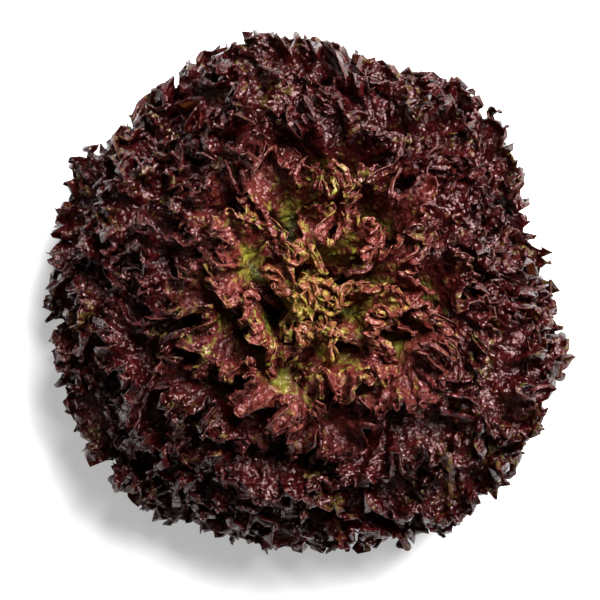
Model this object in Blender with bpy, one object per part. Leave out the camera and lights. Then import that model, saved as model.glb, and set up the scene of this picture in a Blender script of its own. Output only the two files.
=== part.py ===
"""A head of lollo rosso lettuce: a short cut stem and the leaves that grow round it.

Every leaf lies on a cup of its own. The cups are surfaces of revolution that start on the stem and end on
a low dome, one inside the next, and each leaf stands a golden angle on from the one below. Two leaves that
overlap are at least three cups apart, so a margin may wave by nearly two cups each way and touch no other.
Metres, +Z up, with the origin at the middle of the cut face that the head stands on.
"""

import bpy
import numpy as np

MM = 0.001

# The head
LEAVES = 54
GOLDEN_ANGLE = np.radians(137.50776)
DOME_RADIUS = 127.0 * MM
DOME_CENTRE_Z = 32.0 * MM
DOME_HEIGHT = 93.0 * MM
LOWEST_RIM_ANGLE = np.radians(103.0)
CROWDING = 1.10
INNERMOST = 0.965
LEAN_X = 9.0 * MM
HEAD_TOP = DOME_CENTRE_Z + DOME_HEIGHT

# Its leaves by age, with their finishes: (colour, roughness)
OUTER_UNTIL, MIDDLE_UNTIL = 0.50, 0.85
STEM_FINISH = ((0.62, 0.60, 0.40), 0.55)
OUTER_FINISH = ((0.055, 0.012, 0.016), 0.38)
MIDDLE_FINISH = ((0.105, 0.020, 0.020), 0.38)
HEART_FINISH = ((0.20, 0.12, 0.035), 0.38)

# The stem
STEM_RADIUS = 16.5 * MM
STEM_TIP_RADIUS = 5.5 * MM
STEM_HEIGHT = 58.0 * MM
STEM_TAPER = 1.6
CUT_CHAMFER = 1.5 * MM
STEM_SIDES = 32
STEM_RINGS = 5
STEM_TIP_SHARE = 0.6
FIRST_ROOT_Z = 8.0 * MM
LAST_ROOT_Z = 55.0 * MM
ROOT_GAP = 0.4 * MM

# The cups: their rise at the root from the outermost to the innermost, and how stiffly they hold it
OUTER_RISE, INNER_RISE = np.radians(10.0), np.radians(88.0)
RISE_QUICKNESS = 0.8
ROOT_STIFFNESS, RIM_STIFFNESS = 0.42, 0.36

# One leaf
HALF_ANGLE = np.radians(39.0)
AZIMUTH_SPREAD = np.radians(3.0)
REACH_SPREAD = 0.035
SHOULDER = 0.70
FULLNESS = 0.85
ROOT_SHARE = 0.72
VEIN_START = 0.60
BLADE_THICKNESS = 0.8 * MM
RIB_THICKNESS = 2.2 * MM
HEART_THINNING = 0.75
RECURVE = np.radians(8.0)

# The waves of its margin
OUTER_HALF_WAVES, INNER_HALF_WAVES = 11, 5
WAVE_CUPS = 1.2
HEART_CALM = 0.55
WAVE_DEPTH = 26.0 * MM
FRILLED_SHARE = 0.38
WAVE_FADE = 1.6
WAVE_UNEVENNESS = 0.3
UNEVEN_TURNS = 5.3
NOTCH_DEPTH = 0.04
INNER_ROWS = (0.17, 0.46, 1.0)

# How the outline of the head departs from a circle: (times round, share of the radius, direction)
OUTLINE = (
    (1, 0.006, 2.54),
    (2, 0.026, -1.15),
    (3, 0.026, -0.45),
    (4, 0.006, 0.77),
    (6, 0.019, -0.22),
    (7, 0.009, 0.02),
)

# Slow bends of the whole head: (direction of the move, direction it varies along, length, phase)
BENDS = (
    ((0.8, 0.1, 0.6), (0.2, 0.9, 0.4), 92.0 * MM, 0.4),
    ((0.1, 0.9, 0.4), (0.9, -0.2, 0.3), 78.0 * MM, 2.1),
    ((-0.3, 0.4, 0.9), (0.6, 0.7, -0.2), 66.0 * MM, 4.4),
)
BEND_SIZE = 2.4 * MM
STIFF_ROOT = 50.0 * MM


def smooth(x):
    """0 below 0, 1 above 1, and a soft step between."""
    x = np.clip(x, 0.0, 1.0)
    return x * x * (3.0 - 2.0 * x)


def unit(vectors):
    return vectors / np.linalg.norm(vectors, axis=-1, keepdims=True)


def stem_radius(z):
    """The stem tapers slowly above the cut and faster near its tip."""
    share = np.clip(z / STEM_HEIGHT, 0.0, 1.0)
    return STEM_RADIUS + (STEM_TIP_RADIUS - STEM_RADIUS) * share**STEM_TAPER


def cup(age, reach):
    """(radius, height) on the cup of that age, 0 outermost to 1 innermost, at a share of its length.

    A cubic Bezier: it leaves the stem nearly level on the outer cups and upright on the inner ones, and it
    meets the dome along the dome's normal, turned outwards by the leaf's recurve.
    """
    rim = LOWEST_RIM_ANGLE * (1.0 - INNERMOST * age) ** CROWDING
    root_z = FIRST_ROOT_Z + (LAST_ROOT_Z - FIRST_ROOT_Z) * age
    root_r = stem_radius(root_z) + ROOT_GAP
    rim_r = DOME_RADIUS * np.sin(rim)
    rim_z = DOME_CENTRE_Z + DOME_HEIGHT * np.cos(rim)
    rise = OUTER_RISE + (INNER_RISE - OUTER_RISE) * np.clip(age, 0.0, 1.0) ** RISE_QUICKNESS
    rim_rise = np.pi / 2 - rim - RECURVE * np.sin(np.minimum(rim, np.pi / 2))
    span = np.hypot(rim_r - root_r, rim_z - root_z)
    near, far = ROOT_STIFFNESS * span, RIM_STIFFNESS * span
    corners = (
        (root_r, root_z),
        (root_r + near * np.cos(rise), root_z + near * np.sin(rise)),
        (rim_r - far * np.cos(rim_rise), rim_z - far * np.sin(rim_rise)),
        (rim_r, rim_z),
    )
    rest = 1.0 - reach
    weights = (rest**3, 3 * reach * rest**2, 3 * reach**2 * rest, reach**3)
    radius = sum(w * c[0] for w, c in zip(weights, corners))
    height = sum(w * c[1] for w, c in zip(weights, corners))
    return radius, height


def margin(q):
    """The leaf's edge, from root corner (-1) over the tip (0) to root corner (1).

    Gives (share of the half-angle, share of the length): a quarter of an ellipse from the tip down to the
    shoulder on each side, then a side that narrows towards the root.
    """
    side = np.abs(q)
    turn = np.minimum(side / 0.5, 1.0) * np.pi / 2
    below = np.clip((side - 0.5) / 0.5, 0.0, 1.0)
    across = np.where(side < 0.5, np.sin(turn) ** FULLNESS, 1.0 - (1.0 - ROOT_SHARE) * smooth(below))
    along = np.where(side < 0.5, SHOULDER + (1.0 - SHOULDER) * np.cos(turn), SHOULDER * (1.0 - below))
    return np.sign(q) * across, along


def frilled(q):
    """1 over the top and shoulders of the leaf, falling to 0 at its two root corners."""
    return smooth((1.0 - np.abs(q)) / FRILLED_SHARE)


def half_waves(age):
    return int(round(OUTER_HALF_WAVES + (INNER_HALF_WAVES - OUTER_HALF_WAVES) * age))


def leaf_facts(index):
    """What differs from leaf to leaf, from seeded draws."""
    draw = np.random.default_rng(100 + index)
    return {
        "age": (index + 0.5) / LEAVES,
        "azimuth": index * GOLDEN_ANGLE + draw.uniform(-AZIMUTH_SPREAD, AZIMUTH_SPREAD),
        "reach": 1.0 + draw.uniform(-REACH_SPREAD, REACH_SPREAD),
        "crowd": draw.uniform(-0.5, 0.5),
        "swell": draw.uniform(0.0, 2 * np.pi),
        "flip": draw.choice((-1.0, 1.0)),
    }


def wave_turns(q, facts):
    """How many half waves lie between the tip and q. They crowd to one end by the leaf's own draw."""
    return half_waves(facts["age"]) * (q + facts["crowd"] * np.sin(2 * np.pi * q) / (2 * np.pi))


def bend_head(points):
    """Moves points as the whole head is bent: its lean, its outline and its slow swells. None at the stem."""
    radius = np.hypot(points[..., 0], points[..., 1])
    azimuth = np.arctan2(points[..., 1], points[..., 0])
    above = np.maximum(points[..., 2] - STEM_HEIGHT, 0.0)
    free = smooth((np.hypot(radius, above) - STEM_RADIUS) / STIFF_ROOT)
    grow = 1.0 + free * sum(size * np.cos(n * (azimuth - turn)) for n, size, turn in OUTLINE)
    bent = points * np.stack([grow, grow, np.ones_like(grow)], -1)
    bent[..., 0] += free * LEAN_X * smooth(points[..., 2] / HEAD_TOP)
    for move, along, length, phase in BENDS:
        turn = 2 * np.pi * (points @ unit(np.array(along))) / length + phase
        bent += (free * BEND_SIZE * np.sin(turn))[..., None] * unit(np.array(move))
    return bent


def leaf_points(q, depth, facts):
    """The leaf's upper face at margin place q and depth, 0 at the margin and 1 at the midrib.

    Each vein runs from the midrib to the margin. The wave carries a point from its own cup towards the next
    ones on either side, less and less with the distance from the margin and towards the root.
    """
    age = facts["age"]
    across, along = margin(q)
    reach = along * facts["reach"]
    share = reach * (1.0 - (1.0 - VEIN_START) * depth)
    edge_r, edge_z = cup(age, reach)
    here_r, here_z = cup(age, share)
    half_width = HALF_ANGLE * np.abs(across) * edge_r
    distance = np.hypot(np.hypot(edge_r - here_r, edge_z - here_z), half_width * depth)
    wave = np.sin(np.pi * wave_turns(q, facts)) * facts["flip"]
    wave = wave * (1.0 - WAVE_UNEVENNESS * (0.5 + 0.5 * np.sin(UNEVEN_TURNS * q + facts["swell"])))
    wave = wave * frilled(q) * (1.0 - HEART_CALM * age**3)
    wave = wave * np.exp(-((distance / WAVE_DEPTH) ** WAVE_FADE)) * (1.0 - depth**4)
    radius, height = cup(age + wave * WAVE_CUPS / LEAVES, share)
    angle = facts["azimuth"] + HALF_ANGLE * across * (1.0 - depth)
    return bend_head(np.stack([radius * np.cos(angle), radius * np.sin(angle), height], -1))


def leaf_columns(facts):
    """Places round the margin: each crest and trough, and the two root corners."""
    fine = np.linspace(0.0, 1.0, 400)
    count = half_waves(facts["age"])
    crests = np.interp(np.arange(count) + 0.5, wave_turns(fine, facts), fine)
    one_side = np.append(crests, 1.0)
    return np.concatenate([-one_side[::-1], one_side])


def leaf_grid(facts):
    """Vertices, triangles and fleshiness of a leaf's upper face.

    The margin has a lobe at each column and a notch between each two. The inner rows have the columns only,
    and the last row is the midrib, where the two halves of the leaf share their vertices.
    """
    columns = leaf_columns(facts)
    count = len(columns)
    between = (columns[1:] + columns[:-1]) / 2
    margin_q = np.sort(np.concatenate([columns, between]))
    notch = np.where(np.arange(len(margin_q)) % 2, NOTCH_DEPTH * frilled(margin_q), 0.0)
    inner_q, inner_depth = np.meshgrid(columns, np.array(INNER_ROWS), indexing="ij")
    points = np.concatenate([
        leaf_points(margin_q, notch, facts),
        leaf_points(inner_q, inner_depth, facts).reshape(-1, 3),
    ])
    lobes = np.arange(count) * 2
    inner = len(margin_q) + np.arange(inner_q.size).reshape(inner_q.shape)
    inner[count // 2 :, -1] = inner[: count // 2, -1][::-1]
    faces = []
    for c in range(count - 1):
        lobe, cut, next_lobe = lobes[c], lobes[c] + 1, lobes[c] + 2
        faces += [(lobe, cut, inner[c, 0]), (cut, inner[c + 1, 0], inner[c, 0])]
        faces += [(cut, next_lobe, inner[c + 1, 0])]
        for r in range(len(INNER_ROWS) - 1):
            a, b, d, e = inner[c, r], inner[c + 1, r], inner[c + 1, r + 1], inner[c, r + 1]
            faces += [(a, b, d), (a, d, e)] if c < count // 2 else [(a, b, e), (b, d, e)]
    faces = [face for face in faces if len(set(face)) == 3]
    flesh = np.zeros(len(points))
    flesh[inner[:, -1]] = (1.0 - margin(columns)[1]) * (1.0 - HEART_THINNING * facts["age"] ** 2)
    return points, faces, flesh


def add_leaf(index, material):
    """A thin blade. Solidify gives its wall beneath the grid, thicker along the midrib and at the root."""
    points, faces, flesh = leaf_grid(leaf_facts(index))
    used = sorted({v for face in faces for v in face})
    number = {v: k for k, v in enumerate(used)}
    mesh = bpy.data.meshes.new(f"leaf_{index + 1:02d}")
    mesh.from_pydata(points[used].tolist(), [], [[number[v] for v in face] for face in faces])
    mesh.materials.append(material)
    leaf = bpy.data.objects.new(mesh.name, mesh)
    bpy.context.scene.collection.objects.link(leaf)
    group = leaf.vertex_groups.new(name="flesh")
    for vertex in used:
        group.add([number[vertex]], float(flesh[vertex]), "REPLACE")
    wall = leaf.modifiers.new("Wall", "SOLIDIFY")
    wall.thickness = RIB_THICKNESS
    wall.offset = -1.0
    wall.vertex_group = group.name
    wall.thickness_vertex_group = BLADE_THICKNESS / RIB_THICKNESS
    return leaf


def add_stem(material):
    """A turned stem with a flat cut face and a blunt tip, of rings stacked upwards."""
    heights = np.array([0.0, CUT_CHAMFER, *np.linspace(FIRST_ROOT_Z, LAST_ROOT_Z, STEM_RINGS), STEM_HEIGHT])
    radii = stem_radius(heights)
    radii[0] -= CUT_CHAMFER
    radii[-1] *= STEM_TIP_SHARE
    turn = np.linspace(0.0, 2 * np.pi, STEM_SIDES, endpoint=False)
    rings = [[(r * np.cos(a), r * np.sin(a), z) for a in turn] for r, z in zip(radii, heights)]
    around = np.arange(STEM_SIDES)
    after = np.roll(around, -1)
    faces = [around[::-1].tolist(), (around + (len(rings) - 1) * STEM_SIDES).tolist()]
    for ring in range(len(rings) - 1):
        low, high = ring * STEM_SIDES, (ring + 1) * STEM_SIDES
        faces += np.stack([low + around, low + after, high + after, high + around], 1).tolist()
    mesh = bpy.data.meshes.new("stem")
    mesh.from_pydata([point for ring in rings for point in ring], [], faces)
    mesh.shade_smooth()
    mesh.set_sharp_from_angle(angle=np.radians(40.0))
    mesh.materials.append(material)
    stem = bpy.data.objects.new("stem", mesh)
    bpy.context.scene.collection.objects.link(stem)
    return stem


def finish(name, colour, roughness):
    material = bpy.data.materials.new(name)
    material.use_nodes = True
    shader = material.node_tree.nodes["Principled BSDF"]
    shader.inputs["Base Color"].default_value = (*colour, 1.0)
    shader.inputs["Roughness"].default_value = roughness
    shader.inputs["Metallic"].default_value = 0.0
    return material


def main():
    for obj in list(bpy.data.objects):
        bpy.data.objects.remove(obj)
    add_stem(finish("cut_stem", *STEM_FINISH))
    outer = finish("outer_leaf", *OUTER_FINISH)
    middle = finish("middle_leaf", *MIDDLE_FINISH)
    heart = finish("heart_leaf", *HEART_FINISH)
    for index in range(LEAVES):
        age = leaf_facts(index)["age"]
        add_leaf(index, outer if age < OUTER_UNTIL else middle if age < MIDDLE_UNTIL else heart)


main()
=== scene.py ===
# %% [markdown]
# # A head of lollo rosso
# The head is a short cut stem with dozens of leaves round it, each one ruffled along its margin until it
# fills all the room up to its neighbours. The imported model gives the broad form: the stem, and one plain
# waved blade for each leaf. This script replaces every blade with a fine one that lies on the same curved
# sheet and adds the ruffles, the crinkles and the toothed edge.

# %% Load the frame
import bpy
import numpy as np
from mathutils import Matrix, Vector


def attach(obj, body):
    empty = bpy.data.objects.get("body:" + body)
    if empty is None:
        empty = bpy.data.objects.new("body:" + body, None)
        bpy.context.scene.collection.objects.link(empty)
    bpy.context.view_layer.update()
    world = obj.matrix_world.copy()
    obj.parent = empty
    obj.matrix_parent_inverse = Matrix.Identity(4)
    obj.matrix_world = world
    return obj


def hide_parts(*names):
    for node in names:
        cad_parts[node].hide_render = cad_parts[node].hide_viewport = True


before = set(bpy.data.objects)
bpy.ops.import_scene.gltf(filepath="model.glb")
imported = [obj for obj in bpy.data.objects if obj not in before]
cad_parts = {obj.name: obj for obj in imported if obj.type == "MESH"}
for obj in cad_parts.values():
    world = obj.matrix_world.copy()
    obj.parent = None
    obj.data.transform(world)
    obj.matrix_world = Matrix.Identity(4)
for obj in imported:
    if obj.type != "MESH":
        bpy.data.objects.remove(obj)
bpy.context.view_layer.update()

MM = 0.001
leaf_names = sorted(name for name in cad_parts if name.startswith("leaf_"))
LEAVES = len(leaf_names)

# %% [markdown]
# ## Where a leaf lies
# In the real head each leaf stands a golden angle on from the one before, and it lies outside all the
# younger ones. Scattering leaves by hand would make them cut through one another. Here each leaf gets a cup
# of its own instead, a surface of revolution that runs from the stem to a low dome, and the cups nest like
# bowls. Two leaves that overlap are at least three cups apart, so a margin has room for its broad wave. The
# frills need more room than that, and they do cross one another, most of all at the heart.

# %% The measures of the head, as in the solids
GOLDEN_ANGLE = np.radians(137.50776)
DOME_RADIUS, DOME_CENTRE_Z, DOME_HEIGHT = 127.0 * MM, 32.0 * MM, 93.0 * MM
LOWEST_RIM_ANGLE = np.radians(103.0)
CROWDING, INNERMOST = 1.10, 0.965
LEAN_X = 9.0 * MM
HEAD_TOP = DOME_CENTRE_Z + DOME_HEIGHT
STEM_RADIUS, STEM_TIP_RADIUS, STEM_HEIGHT, STEM_TAPER = 16.5 * MM, 5.5 * MM, 58.0 * MM, 1.6
FIRST_ROOT_Z, LAST_ROOT_Z, ROOT_GAP = 8.0 * MM, 55.0 * MM, 0.4 * MM
OUTER_RISE, INNER_RISE, RISE_QUICKNESS = np.radians(10.0), np.radians(88.0), 0.8
ROOT_STIFFNESS, RIM_STIFFNESS, RECURVE = 0.42, 0.36, np.radians(8.0)
OUTLINE = (
    (1, 0.006, 2.54),
    (2, 0.026, -1.15),
    (3, 0.026, -0.45),
    (4, 0.006, 0.77),
    (6, 0.019, -0.22),
    (7, 0.009, 0.02),
)
BENDS = (
    ((0.8, 0.1, 0.6), (0.2, 0.9, 0.4), 92.0 * MM, 0.4),
    ((0.1, 0.9, 0.4), (0.9, -0.2, 0.3), 78.0 * MM, 2.1),
    ((-0.3, 0.4, 0.9), (0.6, 0.7, -0.2), 66.0 * MM, 4.4),
)
BEND_SIZE, STIFF_ROOT = 2.4 * MM, 50.0 * MM


# %% Small helpers for arrays
def smooth(x):
    """0 below 0, 1 above 1, and 3x^2 - 2x^3 between."""
    x = np.clip(x, 0.0, 1.0)
    return x * x * (3.0 - 2.0 * x)


def unit(vectors):
    """Each vector divided by its own length."""
    return vectors / np.maximum(np.linalg.norm(vectors, axis=-1, keepdims=True), 1e-12)


OCTAVES, WOBBLE_HEIGHT = 3, 1.8


def wobble(x, seed):
    """A smooth random curve of about -1 to 1: sines of x, each twice as quick and a little lower."""
    draw = np.random.default_rng(seed)
    total = np.zeros_like(x)
    for octave in range(OCTAVES):
        quickness = 2.0**octave * draw.uniform(0.8, 1.25)
        total = total + np.sin(2 * np.pi * quickness * x + draw.uniform(0, 2 * np.pi)) / 2 ** (0.5 * octave)
    return total / WOBBLE_HEIGHT


# %% The nested cups
def stem_radius(z):
    """From the cut radius to the tip radius, by a power of the height."""
    return STEM_RADIUS + (STEM_TIP_RADIUS - STEM_RADIUS) * np.clip(z / STEM_HEIGHT, 0.0, 1.0) ** STEM_TAPER


def rim_angle(age):
    """Where a cup ends, as an angle from the top of the dome."""
    return LOWEST_RIM_ANGLE * (1.0 - INNERMOST * age) ** CROWDING


def cup(age, reach):
    """(radius, height) on a cup at a share of its length: a cubic Bezier from the stem to the dome.

    It leaves the stem nearly level on the outer cups and upright on the inner ones. It meets the dome along
    the dome's normal, turned outwards by the recurve.
    """
    rim = rim_angle(age)
    root_z = FIRST_ROOT_Z + (LAST_ROOT_Z - FIRST_ROOT_Z) * age
    root_r = stem_radius(root_z) + ROOT_GAP
    rim_r = DOME_RADIUS * np.sin(rim)
    rim_z = DOME_CENTRE_Z + DOME_HEIGHT * np.cos(rim)
    rise = OUTER_RISE + (INNER_RISE - OUTER_RISE) * np.clip(age, 0.0, 1.0) ** RISE_QUICKNESS
    rim_rise = np.pi / 2 - rim - RECURVE * np.sin(np.minimum(rim, np.pi / 2))
    span = np.hypot(rim_r - root_r, rim_z - root_z)
    near, far = ROOT_STIFFNESS * span, RIM_STIFFNESS * span
    corners = (
        (root_r, root_z),
        (root_r + near * np.cos(rise), root_z + near * np.sin(rise)),
        (rim_r - far * np.cos(rim_rise), rim_z - far * np.sin(rim_rise)),
        (rim_r, rim_z),
    )
    rest = 1.0 - reach
    weights = (rest**3, 3 * reach * rest**2, 3 * reach**2 * rest, reach**3)
    return sum(w * c[0] for w, c in zip(weights, corners)), sum(w * c[1] for w, c in zip(weights, corners))


def bend_head(points):
    """Moves points as the whole head is bent, by its lean, outline and slow swells. The stem stays put."""
    radius = np.hypot(points[..., 0], points[..., 1])
    azimuth = np.arctan2(points[..., 1], points[..., 0])
    above = np.maximum(points[..., 2] - STEM_HEIGHT, 0.0)
    free = smooth((np.hypot(radius, above) - STEM_RADIUS) / STIFF_ROOT)
    grow = 1.0 + free * sum(size * np.cos(n * (azimuth - turn)) for n, size, turn in OUTLINE)
    bent = points * np.stack([grow, grow, np.ones_like(grow)], -1)
    bent[..., 0] += free * LEAN_X * smooth(points[..., 2] / HEAD_TOP)
    for move, along, length, phase in BENDS:
        turn = 2 * np.pi * (points @ unit(np.array(along))) / length + phase
        bent += (free * BEND_SIZE * np.sin(turn))[..., None] * unit(np.array(move))
    return bent


for age in (0.0, 0.5, 1.0):
    radius, height = cup(age, np.linspace(0.0, 1.0, 50))
    print("cup of age", age, "is", round(np.hypot(np.diff(radius), np.diff(height)).sum() / MM), "mm long")

# %% [markdown]
# ## The plain leaf
# A leaf is nearly as wide as it is long, with one thick midrib. Its veins leave the midrib and fan out to
# the margin, and everything that a frill does happens along them. So the two parameters of the surface are
# the place round the margin, q, and the depth, from 0 at the margin to 1 at the midrib. A grid in length and
# width would have been simpler, but its rows would cut across the frills.

# %% The leaf's outline and what differs from leaf to leaf
HALF_ANGLE, AZIMUTH_SPREAD, REACH_SPREAD = np.radians(39.0), np.radians(3.0), 0.035
SHOULDER, ROOT_SHARE, VEIN_START, FRILLED_SHARE, FULLNESS = 0.70, 0.72, 0.60, 0.38, 0.85
# Each leaf has 40 seeds of its own. Frills and cuts take the first eleven, and three of the others are named.
SEEDS_PER_LEAF, BLISTER_SEED, PULL_SEED, CURL_SEED = 40, 13, 14, 31
FACTS_SEED, TINT_SEED = 100, 700
OUTER_HALF_WAVES, INNER_HALF_WAVES = 11, 5
WAVE_CUPS, HEART_CALM, WAVE_DEPTH, WAVE_FADE = 1.2, 0.55, 26.0 * MM, 1.6
WAVE_UNEVENNESS, UNEVEN_TURNS = 0.3, 5.3


def margin(q):
    """(share of the half-angle, share of the length) at q, from one root corner (-1) to the other (1).

    A quarter of an ellipse leads from the tip to each shoulder, and a side that narrows leads to the root.
    """
    side = np.abs(q)
    turn = np.minimum(side / 0.5, 1.0) * np.pi / 2
    below = np.clip((side - 0.5) / 0.5, 0.0, 1.0)
    across = np.where(side < 0.5, np.sin(turn) ** FULLNESS, 1.0 - (1.0 - ROOT_SHARE) * smooth(below))
    along = np.where(side < 0.5, SHOULDER + (1.0 - SHOULDER) * np.cos(turn), SHOULDER * (1.0 - below))
    return np.sign(q) * across, along


def leaf_facts(index):
    """What differs from leaf to leaf, from seeded draws."""
    draw = np.random.default_rng(FACTS_SEED + index)
    return {
        "index": index,
        "age": (index + 0.5) / LEAVES,
        "azimuth": index * GOLDEN_ANGLE + draw.uniform(-AZIMUTH_SPREAD, AZIMUTH_SPREAD),
        "reach": 1.0 + draw.uniform(-REACH_SPREAD, REACH_SPREAD),
        "crowd": draw.uniform(-0.5, 0.5),
        "swell": draw.uniform(0.0, 2 * np.pi),
        "flip": draw.choice((-1.0, 1.0)),
    }


def broad_wave(q, facts):
    """The broad wave along the margin, -1 to 1: a sine that crowds to one end, uneven, none at the root."""
    halves = round(OUTER_HALF_WAVES + (INNER_HALF_WAVES - OUTER_HALF_WAVES) * facts["age"])
    turns = halves * (q + facts["crowd"] * np.sin(2 * np.pi * q) / (2 * np.pi))
    wave = facts["flip"] * np.sin(np.pi * turns)
    wave = wave * (1.0 - WAVE_UNEVENNESS * (0.5 + 0.5 * np.sin(UNEVEN_TURNS * q + facts["swell"])))
    return wave * smooth((1.0 - np.abs(q)) / FRILLED_SHARE) * (1.0 - HEART_CALM * facts["age"] ** 3)


# %% [markdown]
# ## The ruffles
# A frilled leaf grows faster at its margin than further in. The spare length has nowhere to go, so the edge
# buckles into waves, and the waves into smaller waves. That could be a cloth simulation, but it would take
# minutes a leaf. The same look comes from turning the surface by an angle: each vein is walked outwards from
# the midrib in short steps, and every step tilts up or down by a sum of waves. A vein keeps its length that
# way, and only the margin is stretched, as in the real leaf.

# %% The waves of the margin, from broad lobes to fine crinkles
# The lengths are those of the oldest leaves, and "finer" is how much shorter a wave is at the heart. "Ease"
# is the share of the tilt that the very edge loses. DEPTH_KEPT is the share of a depth that never shrinks.
FRILL_KEYS = ("length", "tilt", "depth", "sway", "ease", "finer", "slant")
FRILLS = [
    dict(zip(FRILL_KEYS, row))
    for row in (
        (37.0 * MM, np.radians(52.0), 20.0 * MM, 0.06, 0.50, 0.45, 0.4),
        (13.0 * MM, np.radians(76.0), 8.5 * MM, 0.21, 0.80, 0.56, 1.0),
        (6.2 * MM, np.radians(74.0), 5.0 * MM, 0.22, 0.70, 0.54, -1.6),
        (3.6 * MM, np.radians(50.0), 3.2 * MM, 0.10, 0.60, 0.43, 2.2),
    )
]
UNEVEN_PHASE, PHASE_WAVES, UNEVEN_STRENGTH, STRENGTH_WAVES = 1.6, 4.5, 0.5, 2.6
DEPTH_KEPT, EASE_SHARE = 0.1, 0.3
VEIN_DRIFT, DRIFT_LENGTH, SLANT_DEPTH = 3.2, 45.0 * MM, 11.0 * MM


def faded(distance, depth):
    """1 at the margin, falling inwards as exp of minus the 1.5th power of distance by depth."""
    return np.exp(-((distance / depth) ** 1.5))


def frills(leaf):
    """(tilt, sideways shift), each a sum over the frills of a sine along the margin that fades inwards.

    A pleat also swings to and fro sideways at twice its own pace, which rounds it into a loop. Its tilt
    eases off at the very edge, which opens the edge into a lobe. The slant lets the veins run aslant.
    """
    along, distance, seed = leaf["along"], leaf["distance"], leaf["seed"]
    drift = VEIN_DRIFT * wobble(along / DRIFT_LENGTH, seed + 2)
    tilt, shift = 0.0, 0.0
    for order, size in enumerate(FRILLS):
        smaller = 1.0 - size["finer"] * leaf["young"]
        length = size["length"] * smaller
        reach = size["depth"] * (DEPTH_KEPT + (1.0 - DEPTH_KEPT) * smaller)
        early = wobble(along / (PHASE_WAVES * length), seed + 3 * order)
        strong = wobble(along / (STRENGTH_WAVES * length), seed + 3 * order + 1)
        phase = 2 * np.pi * along / length + UNEVEN_PHASE * early
        phase = phase + size["slant"] * drift * distance / SLANT_DEPTH
        strength = size["tilt"] * (1.0 + UNEVEN_STRENGTH * strong)
        level = leaf["frilled"] * strength * faded(distance, reach)
        level = level * (1.0 - size["ease"] * np.exp(-distance / (EASE_SHARE * reach)))
        tilt = tilt + level * np.sin(phase)
        shift = shift - size["sway"] * length * level * np.sin(2 * phase)
    return tilt, shift


# %% [markdown]
# ## Slow turns of the margin
# Besides the pleats, a margin hangs outwards on the old leaves and folds inwards over the heart on the young
# ones, and here and there it rolls up or down. These turns are slow, so each is one tilt that fades inwards.
# Without them every leaf would end at the same height and the head would show rings.

# %% How the margin hangs, rolls and closes over the heart
# The hang is for the oldest quarter of the leaves only, and brings their margins down towards the ground.
BROAD_TILT, BROAD_DEPTH = np.radians(20.0), 14.0 * MM
FLARE, FLARE_DEPTH = 0.30, 14.0 * MM
HANG, HANG_AGES = np.radians(28.0), 0.25
HEART_CURL, HEART_STARTS, HEART_CLOSED = np.radians(75.0), 0.84, 0.98
CURL, CURL_LENGTH, CURL_DEPTH = np.radians(65.0), 24.0 * MM, 8.0 * MM


def slow_turns(leaf):
    """The tilt of the broad wave, the curls and the heart's fold, less the flare and the hang."""
    distance, age = leaf["distance"], leaf["age"]
    heart = smooth((age - HEART_STARTS) / (HEART_CLOSED - HEART_STARTS))
    flare = FLARE * max(np.pi / 2 - rim_angle(age), 0.0) * (1.0 - heart)
    hang = HANG * smooth(1.0 - age / HANG_AGES)
    curl = CURL * leaf["frilled"] * wobble(leaf["along"] / CURL_LENGTH, leaf["seed"] + CURL_SEED)
    tilt = BROAD_TILT * leaf["wave"] * faded(distance, BROAD_DEPTH) + curl * faded(distance, CURL_DEPTH)
    return tilt + (HEART_CURL * heart - (flare + hang)) * faded(distance, FLARE_DEPTH)


# %% [markdown]
# ## Teeth, blisters and crooked pleats
# Seen close, the edge is scalloped and cut into lobes, the skin between the veins stands up in blisters, and
# no pleat runs quite straight. The cuts shorten the veins before anything is bent, so that a lobe bends as
# one. The other two are sums of plane waves in random directions, which have no grain and never repeat.

# %% Cuts, blisters and pulls
# A notch is narrower the higher its power. Every detail gets finer towards the heart, and the height of the
# blisters less than the rest.
TOOTH_LENGTH, TOOTH_DEPTH, TOOTH_POWER = 4.4 * MM, 1.1 * MM, 1.5
TOOTH_DRIFT, TOOTH_DRIFT_LENGTH = 1.5, 9.0 * MM
LOBE_LENGTH, LOBE_DEPTH, LOBE_POWER = 13.0 * MM, 4.5 * MM, 3
LOBE_DRIFT, LOBE_DRIFT_LENGTH = 1.2, 40.0 * MM
BLISTER_SIZE, BLISTER_DEPTH, BLISTER_LENGTHS = 1.8 * MM, 40.0 * MM, (3.3 * MM, 7.2 * MM)
PULL_SIZE, PULL_DEPTH, PULL_LENGTHS = 2.2 * MM, 14.0 * MM, (12.0 * MM, 24.0 * MM)
HEART_BLISTERED, PLANE_WAVES = 0.45, 8


def toothed(along, seed, fine):
    """How far the margin is cut back: narrow notches between round teeth, and deeper ones between lobes."""
    tooth_drift = TOOTH_DRIFT * wobble(along / TOOTH_DRIFT_LENGTH, seed)
    lobe_drift = LOBE_DRIFT * wobble(along / LOBE_DRIFT_LENGTH, seed + 1)
    tooth = np.abs(np.sin(np.pi * along / (TOOTH_LENGTH * fine) + tooth_drift))
    lobe = np.abs(np.sin(np.pi * along / (LOBE_LENGTH * fine) + lobe_drift))
    return fine * (TOOTH_DEPTH * (1.0 - tooth) ** TOOTH_POWER + LOBE_DEPTH * (1.0 - lobe) ** LOBE_POWER)


def bubbles(leaf, seed, lengths):
    """A bubbly height of about -1 to 1: plane waves in random directions, of lengths in a given range."""
    draw = np.random.default_rng(leaf["seed"] + seed)
    total = np.zeros_like(leaf["distance"])
    for _ in range(PLANE_WAVES):
        heading = draw.uniform(0, np.pi)
        length = draw.uniform(lengths[0] * leaf["fine"], lengths[1] * leaf["fine"])
        across = np.cos(heading) * leaf["along"] + np.sin(heading) * leaf["distance"]
        total = total + np.sin(2 * np.pi * across / length + draw.uniform(0, 2 * np.pi))
    return total / np.sqrt(PLANE_WAVES)


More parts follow.
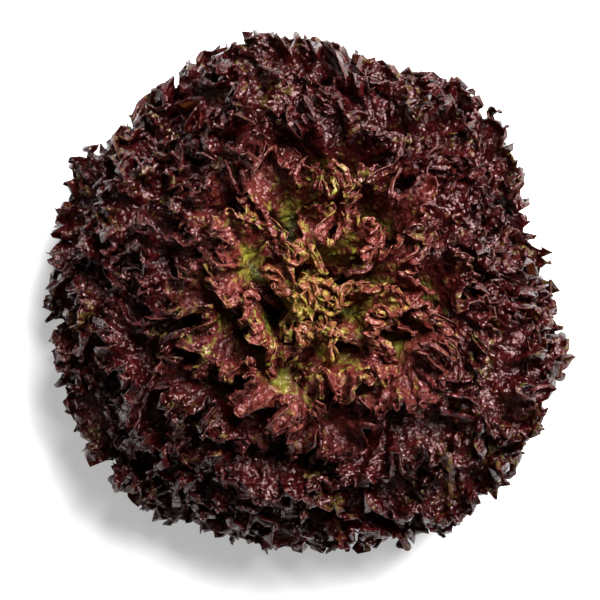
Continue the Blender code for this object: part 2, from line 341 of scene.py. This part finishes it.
def roughened(points, sideways, leaf):
    """Points moved along their normal by the blisters, and along the margin by the pull."""
    normal = unit(np.cross(-np.gradient(points, axis=0), np.gradient(points, axis=1)))
    frilled, distance = leaf["frilled"] * leaf["fine"], leaf["distance"]
    size = BLISTER_SIZE * frilled / leaf["fine"] ** HEART_BLISTERED
    raised = size * bubbles(leaf, BLISTER_SEED, BLISTER_LENGTHS) * np.exp(-distance / BLISTER_DEPTH)
    pulled = PULL_SIZE * frilled * bubbles(leaf, PULL_SEED, PULL_LENGTHS)
    pulled = pulled * np.exp(-((distance / PULL_DEPTH) ** 2))
    return points + raised[..., None] * normal + pulled[..., None] * sideways


# %% [markdown]
# ## One whole leaf
# The grid has a row every millimetre or so near the margin and ever fewer on the way in, and its columns
# stand closer round the tip, which is what shows. A leaf that would dip into the ground is pressed flat
# against it instead, the way the lowest leaves of a real head lie on a table.

# %% The grid of a leaf, and the leaf on it
# ROW_DEPTHS are shares of a vein, from the margin to the midrib. STILL_POWER keeps the midrib still.
ROW_DEPTHS = (
    0.0, 0.011, 0.023, 0.036, 0.050, 0.065, 0.081, 0.099, 0.119, 0.141,
    0.166, 0.195, 0.228, 0.266, 0.31, 0.36, 0.43, 0.52, 0.64, 0.80, 1.0,
)
EDGE_CROWDING, ROOT_FADE, SHORTEST_VEIN = 0.35, 0.25, 10.0 * MM
HEART_FINENESS, FINEST_AGE, STILL_POWER = 0.56, 0.85, 4
LOWEST_FRILL, GROUND_GAP = 2.5 * MM, 0.7 * MM


def on_cups(age, share, across, depth):
    """Points at a share of a cup's length and a share of the half-angle, drawn in towards the midrib."""
    radius, height = cup(age, share * (1.0 - (1.0 - VEIN_START) * depth))
    angle = HALF_ANGLE * across * (1.0 - depth)
    return np.stack([radius * np.cos(angle), radius * np.sin(angle), height], -1)


def walked_out(base, outwards, sideways, tilt, shift):
    """Each vein of the base walked from the midrib to the margin, with every step tilted up by the tilt."""
    upwards = unit(np.cross(outwards, sideways))
    middle = 0.5 * (tilt[1:] + tilt[:-1])[..., None]
    step = np.linalg.norm(np.diff(base, axis=0), axis=-1)[..., None]
    half_out, half_up = 0.5 * (outwards[1:] + outwards[:-1]), 0.5 * (upwards[1:] + upwards[:-1])
    walk = step * (np.cos(middle) * half_out + np.sin(middle) * half_up)
    grown = np.concatenate([base[-1:], base[-1:] + walk[::-1].cumsum(0)])[::-1]
    return grown + shift[..., None] * sideways


def ruffled_leaf(facts, columns):
    """The fine upper face of a leaf on a grid of rows (margin to midrib) and columns (round the margin).

    A point's plain place is on the leaf's own cup, and the broad wave moves it towards the cups on either
    side. Each vein is then walked out again with its tilts, and the result is roughened. Last, the leaf is
    turned to its azimuth and bent with the head. Where z is under the lowest frill L it becomes
    g + (L - g) exp((z - L) / (L - g)), with g the gap to the ground, so that nothing dips into it.
    """
    age, seed = facts["age"], SEEDS_PER_LEAF * facts["index"]
    young = smooth(age / FINEST_AGE)
    fine = 1.0 - HEART_FINENESS * young
    even = np.linspace(-1.0, 1.0, columns + 1)
    q = even * (1.0 - EDGE_CROWDING + EDGE_CROWDING * even**2)
    depth, place = np.meshgrid(np.array(ROW_DEPTHS), q, indexing="ij")
    frilled = smooth((1.0 - np.abs(q)) / ROOT_FADE)
    across, share = margin(place)
    share = share * facts["reach"]

    first = on_cups(age, share, across, depth)
    vein = np.linalg.norm(np.diff(first, axis=0), axis=-1).sum(0)
    edge = np.concatenate([[0.0], np.linalg.norm(np.diff(first[0], axis=0), axis=-1).cumsum()])
    along = edge - edge[columns // 2]
    cut = toothed(along, seed, fine) * frilled / np.maximum(vein, SHORTEST_VEIN)
    depth = depth + cut * (1.0 - depth) ** STILL_POWER
    distance = depth * vein

    wave = broad_wave(q, facts)
    fade = np.exp(-((distance / WAVE_DEPTH) ** WAVE_FADE)) * (1.0 - depth**STILL_POWER)
    base = on_cups(age + wave * fade * WAVE_CUPS / LEAVES, share, across, depth)
    outwards, sideways = unit(-np.gradient(base, axis=0)), unit(np.gradient(base, axis=1))

    leaf = {"along": along, "distance": distance, "frilled": frilled, "wave": wave}
    leaf.update({"age": age, "seed": seed, "young": young, "fine": fine})
    tilt, shift = frills(leaf)
    grown = walked_out(base, outwards, sideways, tilt + slow_turns(leaf), shift)
    grown = roughened(grown, sideways, leaf)

    cosine, sine = np.cos(facts["azimuth"]), np.sin(facts["azimuth"])
    spin = np.array([[cosine, sine, 0.0], [-sine, cosine, 0.0], [0.0, 0.0, 1.0]])
    grown = bend_head(grown @ spin)
    room = LOWEST_FRILL - GROUND_GAP
    pressed = GROUND_GAP + room * np.exp(np.minimum(grown[..., 2] - LOWEST_FRILL, 0.0) / room)
    grown[..., 2] = np.where(grown[..., 2] < LOWEST_FRILL, pressed, grown[..., 2])
    return grown, distance, vein


# %% [markdown]
# ## From a grid to a thin closed blade
# The frills need a point every millimetre or less, and the plain inner part of the leaf hardly any. A full
# grid would spend most of its faces where nothing happens, so the number of columns halves on the way in.
# The lower face is the upper one moved along the normals by the leaf's thickness, which swells to a fleshy
# midrib near the root. A strip round the edge closes the two, so the blade has an inside and an outside. It
# isn't free of crossings, because pleats pass through each other and the two faces meet in tight creases.

# %% Rows, columns and thickness
# The oldest leaves have the longest margins, so they get the most columns. The midrib thins towards the tip,
# and it is thinner on the young leaves.
STRIDES = (1,) * 10 + (2,) * 5 + (4,) * 3 + (8,) * 3
COLUMNS_BY_AGE = ((0.37, 352), (0.70, 320), (1.01, 304))
ROWS = len(STRIDES) - 1
BLADE_THICKNESS, RIB_THICKNESS, RIB_FADE, YOUNG_THINNER = 0.34 * MM, 3.2 * MM, 1.2, 0.75
RIB_WIDTH, WIDTH_AT_TIP, WIDENS_BY = 4.5 * MM, 0.35, 0.9


def blade_faces(columns):
    """Which grid points a blade keeps, and its triangles: upper face, lower face and edge strip.

    The two halves meet at the midrib, so the number of columns is a multiple of twice the last stride.
    """
    keep, ids, count = [], [], 0
    for row, stride in enumerate(STRIDES):
        kept = np.arange(0, columns + 1, stride)
        number = np.full(columns + 1, -1)
        if row == ROWS:
            kept = kept[: len(kept) // 2 + 1]
        number[kept] = count + np.arange(len(kept))
        if row == ROWS:
            number[columns - kept] = number[kept]
        count += len(kept)
        keep.append((np.full(len(kept), row), kept))
        ids.append(number)
    upper = []
    for row in range(ROWS):
        outer, inner, stride = ids[row], ids[row + 1], STRIDES[row + 1]
        c = np.arange(0, columns, stride)
        if STRIDES[row] == stride:
            upper += [(outer[c], inner[c + stride], outer[c + stride])]
            upper += [(outer[c], inner[c], inner[c + stride])]
        else:
            m = c + STRIDES[row]
            upper += [(outer[c], inner[c], outer[m]), (outer[m], inner[c], inner[c + stride])]
            upper += [(outer[m], inner[c + stride], outer[c + stride])]
    upper = np.concatenate([np.stack(corners, 1) for corners in upper])
    upper = upper[(upper != np.roll(upper, 1, axis=1)).all(1)]
    far_side, near_side = [number[-1] for number in ids[1:]], [number[0] for number in ids[-2:0:-1]]
    rim = np.concatenate([ids[0], far_side, near_side])
    after = np.roll(rim, -1)
    strip = [np.stack([rim, after, after + count], 1), np.stack([rim, after + count, rim + count], 1)]
    rows, cols = np.concatenate([k[0] for k in keep]), np.concatenate([k[1] for k in keep])
    clockwise = np.concatenate([upper, upper[:, ::-1] + count, *strip])
    return rows, cols, clockwise[:, ::-1]


def thickness(distance, vein, share, facts):
    """Thin all over, plus a rounded rib: a bell across the midrib, falling from the root to the tip."""
    from_rib = np.maximum(vein - distance, 0.0)
    flesh = (1.0 - share) ** RIB_FADE * (1.0 - YOUNG_THINNER * facts["age"] ** 2)
    width = RIB_WIDTH * (WIDTH_AT_TIP + WIDENS_BY * (1.0 - share))
    return BLADE_THICKNESS + RIB_THICKNESS * flesh * np.exp(-((from_rib / width) ** 2))


def new_piece(name, points, triangles, attributes):
    """A smooth mesh object from arrays, with one number per vertex for each named attribute."""
    mesh = bpy.data.meshes.new(name)
    mesh.vertices.add(len(points))
    mesh.vertices.foreach_set("co", points.astype(np.float32).ravel())
    mesh.loops.add(triangles.size)
    mesh.loops.foreach_set("vertex_index", triangles.astype(np.int32).ravel())
    mesh.polygons.add(len(triangles))
    mesh.polygons.foreach_set("loop_start", np.arange(0, triangles.size, 3, dtype=np.int32))
    mesh.polygons.foreach_set("use_smooth", np.ones(len(triangles), bool))
    for key, values in attributes.items():
        mesh.attributes.new(key, "FLOAT", "POINT").data.foreach_set("value", values.astype(np.float32))
    mesh.update(calc_edges=True)
    piece = bpy.data.objects.new(name, mesh)
    bpy.context.scene.collection.objects.link(piece)
    return piece


def fine_blade(index):
    """One finished leaf: grid, thickness, and the numbers that its colours need."""
    facts = leaf_facts(index)
    columns = next(count for until, count in COLUMNS_BY_AGE if facts["age"] < until)
    points, distance, vein = ruffled_leaf(facts, columns)
    rows, cols, triangles = blade_faces(columns)
    normal = unit(np.cross(-np.gradient(points, axis=0), np.gradient(points, axis=1)))
    share = margin(np.linspace(-1.0, 1.0, columns + 1))[1][None] * np.ones_like(distance)
    wall = thickness(distance, vein[None], share, facts)
    upper = points[rows, cols]
    lower = upper - normal[rows, cols] * wall[rows, cols, None]
    both = np.ones(2)
    attributes = {
        "from_edge": np.outer(both, distance[rows, cols] / MM).ravel(),
        "from_rib": np.outer(both, (vein[None] - distance)[rows, cols] / MM).ravel(),
        "age": np.full(2 * len(rows), facts["age"]),
        "tint": np.full(2 * len(rows), np.random.default_rng(TINT_SEED + index).uniform(-1.0, 1.0)),
    }
    return new_piece(f"blade_{index + 1:02d}", np.concatenate([upper, lower]), triangles, attributes)


# %% Grow all the leaves
blades = [fine_blade(index) for index in range(LEAVES)]
faces = sum(len(blade.data.polygons) for blade in blades)
print("blades:", len(blades), "triangles:", faces)

# %% [markdown]
# ## The stem
# Seen from below, the head ends in the stem that was cut through at harvest. It is a turned piece, slightly
# lumpy where old leaves were pulled off, and its cut face dips a little towards the pith. A profile turned
# round the axis is the natural way, with the lumps as a low wave on the radius.

# %% Turn the stem
STEM_ROWS, STEM_SIDES, CUT_RINGS, ROW_CROWDING = 40, 64, 12, 1.4
DISH_DEPTH, CUT_ROUNDING, LUMPS_START = 0.35 * MM, 1.5 * MM, 4.0 * MM
TIP_LENGTH, TIP_NARROWING, TIP_DIP = 4.0 * MM, 0.85, 0.1 * MM
# Each lump wave: how many round the stem, its share of the radius, and its lean in radians to a metre.
LUMPS = ((3, 0.018, 90.0), (7, 0.012, -160.0))


def stem_surface():
    """Radius as a profile of the height times 1 plus a low lumpy wave, closed by a dished cut and a tip."""
    turn = np.linspace(0.0, 2 * np.pi, STEM_SIDES, endpoint=False)
    cut_share = np.linspace(0.0, 1.0, CUT_RINGS + 2)[1:-1]
    wall = np.linspace(0.0, 1.0, STEM_ROWS) ** ROW_CROWDING * STEM_HEIGHT
    rounded = 1 - np.sqrt(1 - (1 - np.clip(wall / CUT_ROUNDING, 0, 1)) ** 2)
    wall_radius = stem_radius(wall) - CUT_ROUNDING * rounded
    height = np.concatenate([DISH_DEPTH * (1 - cut_share**2), wall])
    radius = np.concatenate([cut_share * (STEM_RADIUS - CUT_ROUNDING), wall_radius])
    tip = np.clip((height - (STEM_HEIGHT - TIP_LENGTH)) / TIP_LENGTH, 0, 1)
    radius = radius * np.sqrt(1 - TIP_NARROWING * tip**2)
    rise = height[:, None]
    lumps = sum(size * np.sin(count * turn + lean * rise) for count, size, lean in LUMPS)
    around = radius[:, None] * (1 + lumps * smooth(rise / LUMPS_START))
    return np.stack([around * np.cos(turn), around * np.sin(turn), rise + 0 * around], -1)


def add_stem():
    """Rings of quads split in two, with a fan at the middle of the cut and one at the tip."""
    ring = stem_surface()
    rows, sides = ring.shape[:2]
    ids = np.arange(rows * sides).reshape(rows, sides)
    after = np.roll(ids, -1, axis=1)
    low, high = (ids[:-1], after[:-1]), (ids[1:], after[1:])
    walls = [np.stack([low[0], low[1], high[1]], -1), np.stack([low[0], high[1], high[0]], -1)]
    bottom, top = rows * sides, rows * sides + 1
    caps = [np.stack([np.full(sides, bottom), after[0], ids[0]], 1)]
    caps += [np.stack([np.full(sides, top), ids[-1], after[-1]], 1)]
    triangles = np.concatenate([w.reshape(-1, 3) for w in walls] + caps)
    points = np.concatenate([ring.reshape(-1, 3), [[0, 0, DISH_DEPTH], [0, 0, STEM_HEIGHT - TIP_DIP]]])
    from_axis = np.hypot(points[:, 0], points[:, 1]) / MM
    return new_piece("cut_stem", points, triangles, {"from_axis": from_axis})


stem = add_stem()
print("stem triangles:", len(stem.data.polygons))


# %% [markdown]
# ## Finishes
# Colour on this plant follows the leaf, not the room: dark red where light reached it, fading through bronze
# to green towards the midrib, and almost no red at the heart. A painted picture could hold that, but the
# blades already carry the distance from the margin at every point, so the colour can be a sum on numbers.
# The class below lets such sums be written as plain expressions.

# %% A small language for shader sums
class Value:
    """A socket that can be used in expressions. Each operator adds one Math node."""

    def __init__(self, recipe, socket):
        self.recipe, self.socket = recipe, socket

    def math(self, operation, *terms):
        """One Math node on any mixture of values and plain numbers."""
        return self.recipe.node("ShaderNodeMath", {"operation": operation}, dict(enumerate(terms)))

    def __add__(self, other):
        return self.math("ADD", self, other)

    def __sub__(self, other):
        return self.math("SUBTRACT", self, other)

    def __rsub__(self, other):
        return self.math("SUBTRACT", other, self)

    def __mul__(self, other):
        return self.math("MULTIPLY", self, other)

    __radd__, __rmul__ = __add__, __mul__


class Recipe:
    """The nodes of one material or of the world, and the one method that adds a node to them."""

    def __init__(self, owner):
        owner.use_nodes = True
        self.owner, self.tree = owner, owner.node_tree
        self.tree.nodes.clear()

    def node(self, kind, settings=None, sockets=None, output=0):
        """Adds a node, sets its settings, then sets or links its sockets. Returns one output."""
        made = self.tree.nodes.new(kind)
        for key, setting in (settings or {}).items():
            setattr(made, key, setting)
        for key, given in (sockets or {}).items():
            if isinstance(given, Value):
                self.tree.links.new(given.socket, made.inputs[key])
            elif isinstance(given, tuple) and len(given) == 3 and made.inputs[key].type == "RGBA":
                made.inputs[key].default_value = (*given, 1.0)
            else:
                made.inputs[key].default_value = given
        return None if output is None else Value(self, made.outputs[output])

    def finish(self, shader, kind="ShaderNodeOutputMaterial"):
        """Ends the recipe in its output, and gives back what it belongs to."""
        self.node(kind, None, {"Surface": shader}, output=None)
        return self.owner

    def attribute(self, name):
        """A number that the piece carries at each of its points."""
        return self.node("ShaderNodeAttribute", {"attribute_name": name}, output="Fac")

    def step(self, value, low, high):
        """0 up to low, 1 from high, smooth between."""
        sockets = {"Value": value, "From Min": low, "From Max": high}
        return self.node("ShaderNodeMapRange", {"interpolation_type": "SMOOTHSTEP"}, sockets)

    def blend(self, factor, first, second):
        """The first colour where factor is 0, the second where it is 1."""
        sockets = {"Factor": factor, 6: first, 7: second}
        return self.node("ShaderNodeMix", {"data_type": "RGBA"}, sockets, output=2)

    def spot(self):
        """The place on the piece, in its own metres."""
        return self.node("ShaderNodeTexCoord", output="Object")

    def noise(self, scale, detail, roughness, offset=0.0):
        """Cloudy noise of 0 to 1. Scale is the number of clouds to a metre."""
        shift = (offset, offset, offset)
        moved = self.node("ShaderNodeMapping", None, {"Vector": self.spot(), "Location": shift})
        sockets = {"Vector": moved, "Scale": scale, "Detail": detail, "Roughness": roughness}
        return self.node("ShaderNodeTexNoise", None, sockets)


# %% [markdown]
# ## The leaf finish
# Red pigment sits in the skin near the margin. Where it is thick the leaf is nearly black-red, and where it
# thins out the green below makes it bronze and then olive. The young leaves of the heart are paler, and at
# the very core the colour is lifted further as painted light, against the shade of the pit round the heart.
# The blade is thin, so some light comes through it, and its wet, blistered skin throws small sharp
# highlights.
# A thin lighter line along the margin is a painted highlight, and the crests of the skin's small cells are
# painted a lighter red than their grooves, as painted light and shade.

# %% The colours of a leaf: on an old leaf, in the heart
DARK_RED = (0.016, 0.0009, 0.0012), (0.120, 0.017, 0.014)
WARM_RED = (0.046, 0.0039, 0.0044), (0.270, 0.066, 0.052)
BRONZE = (0.078, 0.037, 0.009), (0.340, 0.180, 0.055)
GREEN = (0.052, 0.057, 0.008), (0.350, 0.370, 0.045)
# The edge colours are a painted highlight along the thin margin.
EDGE_HIGHLIGHT = (0.190, 0.065, 0.058), (0.420, 0.190, 0.110)
RIB_GREEN, LIGHT_THROUGH, GLOSS_TINT = (0.42, 0.46, 0.20), (0.55, 0.15, 0.05), (1.0, 0.70, 0.68)
# The core colour is partly the paler young leaves and partly painted light against the shade of the pit round
# the heart.
CORE_PALE_AND_LIT = (0.320, 0.140, 0.045)

# %% Ages, from 0 on the oldest leaf to 1 on the youngest, and how far in the red reaches, in millimetres
LOWEST_AGES, HEART_AGES, CORE_AGES = (0.05, 0.35), (0.58, 0.92), (0.84, 0.97)
RED_REACH, HEART_SHORTER, RED_SOFTNESS = 38.0, 14.0, 6.0
PATCH_REACH, MOTTLE_REACH, TINT_REACH = 20.0, 9.0, 4.0
BARE_PATCHES, BARE_MOTTLE, BARE_FLECKS = 0.8, 0.65, 0.8
BARE_BASE, BARE_HEART, BARE_CORE, BARE_LOWEST = 0.1, 0.08, 0.09, 0.09
BARE_LIMITS, BARE_LOSS = (0.58, 0.76), 0.80


# %% Where the red pigment lies
def pigment(r, age, from_edge, patches, mottle, flecks):
    """1 near the margin, 0 further in, with a cloudy border, and thinned where the skin is bare."""
    heart, core = r.step(age, *HEART_AGES), r.step(age, *CORE_AGES)
    lowest = 1.0 - r.step(age, *LOWEST_AGES)
    reach = RED_REACH - HEART_SHORTER * heart + TINT_REACH * r.attribute("tint")
    reach = reach + PATCH_REACH * (patches - 0.5) + MOTTLE_REACH * (mottle - 0.5)
    bare = BARE_BASE + BARE_PATCHES * patches + BARE_MOTTLE * (mottle - 0.5) + BARE_FLECKS * (flecks - 0.5)
    bare = bare + BARE_HEART * heart + BARE_CORE * core + BARE_LOWEST * lowest
    thinned = 1.0 - BARE_LOSS * r.step(bare, *BARE_LIMITS)
    return (1.0 - r.step(from_edge, reach * 0.5, reach + RED_SOFTNESS)) * thinned


# %% Mix the leaf finish
# Each noise is clouds to a metre, detail, roughness and offset. Each pair of limits is where a blend starts
# and ends, in millimetres for the rib and the edge.
PATCHES, MOTTLE = (34.0, 4.0, 0.62), (170.0, 3.0, 0.6, 3.0)
FLECKS, SPECKLE = (300.0, 2.0, 0.5, 17.0), (620.0, 2.0, 0.6, 7.0)
WARM_LIMITS, BRONZE_LIMITS, RED_LIMITS = (0.39, 0.61), (0.35, 0.75), (0.15, 0.95)
RIB_SEEN, RIB_HALF_WIDTH, RIB_FROM_EDGE = 0.8, (0.5, 5.0), (14.0, 40.0)
EDGE_HIGHLIGHT_SEEN, EDGE_HIGHLIGHT_WIDTH, CORE_PALE_AND_LIT_SHARE = 0.25, (0.1, 0.7), 0.45
SKIN_CELLS, CELL_HEIGHT, BUMP_HEIGHT = 330.0, 1.3, 0.0014
SMOOTHEST, SPECULAR, THROUGH, HEART_THROUGH = 0.15, 0.64, 0.14, 0.26


def leaf_finish():
    """Colour from the distance to the margin, the leaf's age and cloudy noise. Tiny blisters by bump."""
    r = Recipe(bpy.data.materials.new("lettuce_leaf"))
    from_edge, from_rib, age = r.attribute("from_edge"), r.attribute("from_rib"), r.attribute("age")
    patches, mottle = r.noise(*PATCHES), r.noise(*MOTTLE)
    flecks, speckle = r.noise(*FLECKS), r.noise(*SPECKLE)
    cells = {"Vector": r.spot(), "Scale": SKIN_CELLS, "Smoothness": 0.5}
    crest = 1.0 - CELL_HEIGHT * r.node("ShaderNodeTexVoronoi", {"feature": "SMOOTH_F1"}, cells)
    heart, core = r.step(age, *HEART_AGES), r.step(age, *CORE_AGES)
    red = pigment(r, age, from_edge, patches, mottle, flecks)

    # On top of the random tone, the crests of the skin cells are painted a warmer, lighter red and their
    # grooves a darker one: painted light and shade.
    warm_tone_and_lit_crests = r.step(0.50 * mottle + 0.35 * flecks + 0.15 * crest, *WARM_LIMITS)
    reds = r.blend(warm_tone_and_lit_crests, r.blend(heart, *DARK_RED), r.blend(heart, *WARM_RED))
    # At the core the reds go towards a pale colour: partly the paler young leaves, partly painted light
    # against the pit's shade.
    reds = r.blend(CORE_PALE_AND_LIT_SHARE * core, reds, CORE_PALE_AND_LIT)
    flesh = r.blend(r.step(mottle, *BRONZE_LIMITS), r.blend(heart, *GREEN), r.blend(heart, *BRONZE))
    skin = r.blend(r.step(red, *RED_LIMITS), flesh, reds)
    rib = (1.0 - r.step(from_rib, *RIB_HALF_WIDTH)) * r.step(from_edge, *RIB_FROM_EDGE)
    skin = r.blend(RIB_SEEN * rib, skin, RIB_GREEN)
    # A thin lighter line along the margin: a painted highlight.
    edge = EDGE_HIGHLIGHT_SEEN * (1.0 - r.step(from_edge, *EDGE_HIGHLIGHT_WIDTH))
    colour = r.blend(edge, skin, r.blend(heart, *EDGE_HIGHLIGHT))

    grain = 0.65 * crest + 0.60 * speckle + mottle + 0.9 * flecks
    relief = {"Strength": 1.0, "Distance": BUMP_HEIGHT, "Height": grain}
    bump = r.node("ShaderNodeBump", None, relief, "Normal")
    roughness = SMOOTHEST + 0.12 * speckle + 0.06 * (1.0 - red)
    gloss = {"Roughness": roughness, "Specular IOR Level": SPECULAR}
    sockets = {"Base Color": colour, "Normal": bump, "Specular Tint": GLOSS_TINT, **gloss}
    body = r.node("ShaderNodeBsdfPrincipled", None, sockets, "BSDF")
    glow = r.node("ShaderNodeBsdfTranslucent", None, {"Color": LIGHT_THROUGH}, "BSDF")
    through = THROUGH + HEART_THROUGH * heart * (1.0 - 0.4 * red)
    return r.finish(r.node("ShaderNodeMixShader", None, {0: through, 1: body, 2: glow}))


leaf_material = leaf_finish()
for blade in blades:
    blade.data.materials.append(leaf_material)
print("nodes in the leaf finish:", len(leaf_material.node_tree.nodes))

# %% [markdown]
# ## The stem finish
# The stem is pale green and watery, with faint clouds. Air turns its cut face brown within a day, most at
# the rim, where the milky sap comes out. Both are clouds on the piece's own metres, and the distance from
# the axis decides how brown the cut is.

# %% Mix the stem finish
STEM_FLESH = (0.46, 0.50, 0.24), (0.62, 0.62, 0.38)
CUT_FACE = (0.62, 0.52, 0.30), (0.30, 0.13, 0.050)
STEM_CLOUD, STEM_GRAIN = (90.0, 4.0, 0.6), (700.0, 3.0, 0.6, 2.0)
CUT_HEIGHTS, STEM_BUMP = (0.0006, 0.0014), 0.0006
STAIN_RADII, STAIN_SWING = (6.0, 14.5), 5.0


def stem_finish():
    """Cloudy flesh, and on the cut a stain that grows from the pith to the rim, by radii in millimetres."""
    r = Recipe(bpy.data.materials.new("cut_stem_flesh"))
    cloud, fine = r.noise(*STEM_CLOUD), r.noise(*STEM_GRAIN)
    height = r.node("ShaderNodeSeparateXYZ", None, {0: r.spot()}, "Z")
    on_cut = 1.0 - r.step(height, *CUT_HEIGHTS)
    stain = r.step(r.attribute("from_axis") + STAIN_SWING * (cloud - 0.5), *STAIN_RADII)
    colour = r.blend(on_cut * (0.45 + 0.5 * cloud), r.blend(cloud, *STEM_FLESH), r.blend(stain, *CUT_FACE))
    relief = {"Strength": 0.4, "Distance": STEM_BUMP, "Height": fine + cloud}
    bump = r.node("ShaderNodeBump", None, relief, "Normal")
    sockets = {"Base Color": colour, "Roughness": 0.42 + 0.2 * fine, "Normal": bump}
    return r.finish(r.node("ShaderNodeBsdfPrincipled", None, sockets, "BSDF"))


stem.data.materials.append(stem_finish())

# %% Put the pieces on the frame
for piece, node in [*zip(blades, leaf_names), (stem, "stem")]:
    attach(piece, "root")
    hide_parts(node)

# %% [markdown]
# ## The stage
# The photograph was taken straight down on a white ground, with one large soft lamp at the upper right. The
# ground is a plain pale sheet, and a soft shadow falls on it to the lower left. White paper that is exposed
# to pure white has no tone left. To reach that without flooding the leaves with light, the sheet is given a
# faint light of its own, and the world around gives only a little.

# %% Ground, lamp and camera
VIEW_WIDTH, RIM_Z, LENS, SENSOR = 0.2825, 0.050, 85.0, 36.0
LAMP_PLACE, LAMP_TARGET, LAMP_SIZE, LAMP_POWER = (0.36, 0.46, 0.86), (0.0, 0.0, 0.06), 0.52, 37.0
GROUND_WIDTH, PAPER, GROUND_GLOW, SKY_STRENGTH = 3.0, (0.85, 0.85, 0.85), 0.35, 0.15


def add_ground():
    """A flat sheet that the cut face of the stem stands on."""
    corner = GROUND_WIDTH / 2
    mesh = bpy.data.meshes.new("ground")
    sheet = [(-corner, -corner, 0), (corner, -corner, 0), (corner, corner, 0), (-corner, corner, 0)]
    mesh.from_pydata(sheet, [], [(0, 1, 2, 3)])
    ground = bpy.data.objects.new("ground", mesh)
    bpy.context.scene.collection.objects.link(ground)
    r = Recipe(bpy.data.materials.new("pale_ground"))
    paper = {"Base Color": PAPER, "Roughness": 0.9}
    paper.update({"Emission Color": (1.0, 1.0, 1.0), "Emission Strength": GROUND_GLOW})
    mesh.materials.append(r.finish(r.node("ShaderNodeBsdfPrincipled", None, paper, "BSDF")))


def add_lamp(name, place, size, power):
    """A square lamp that faces the middle of the head."""
    lamp = bpy.data.lights.new(name, "AREA")
    lamp.energy, lamp.size = power, size
    holder = bpy.data.objects.new(name, lamp)
    holder.location = place
    holder.rotation_euler = (Vector(LAMP_TARGET) - Vector(place)).to_track_quat("-Z", "Y").to_euler()
    bpy.context.scene.collection.objects.link(holder)


add_ground()
add_lamp("key_lamp", LAMP_PLACE, LAMP_SIZE, LAMP_POWER)
bpy.context.scene.world = bpy.data.worlds.new("studio")
sky = Recipe(bpy.context.scene.world)
white = sky.node("ShaderNodeBackground", None, {"Color": (1.0, 1.0, 1.0), "Strength": SKY_STRENGTH})
sky.finish(white, "ShaderNodeOutputWorld")
bpy.context.scene.view_settings.view_transform = "Standard"

camera = bpy.data.objects.new("camera", bpy.data.cameras.new("camera"))
camera.data.lens, camera.data.sensor_width = LENS, SENSOR
camera.location = (0.0, 0.0, RIM_Z + VIEW_WIDTH * LENS / SENSOR)
bpy.context.scene.collection.objects.link(camera)
bpy.context.scene.camera = camera
print("camera height:", round(camera.location.z, 3), "m")
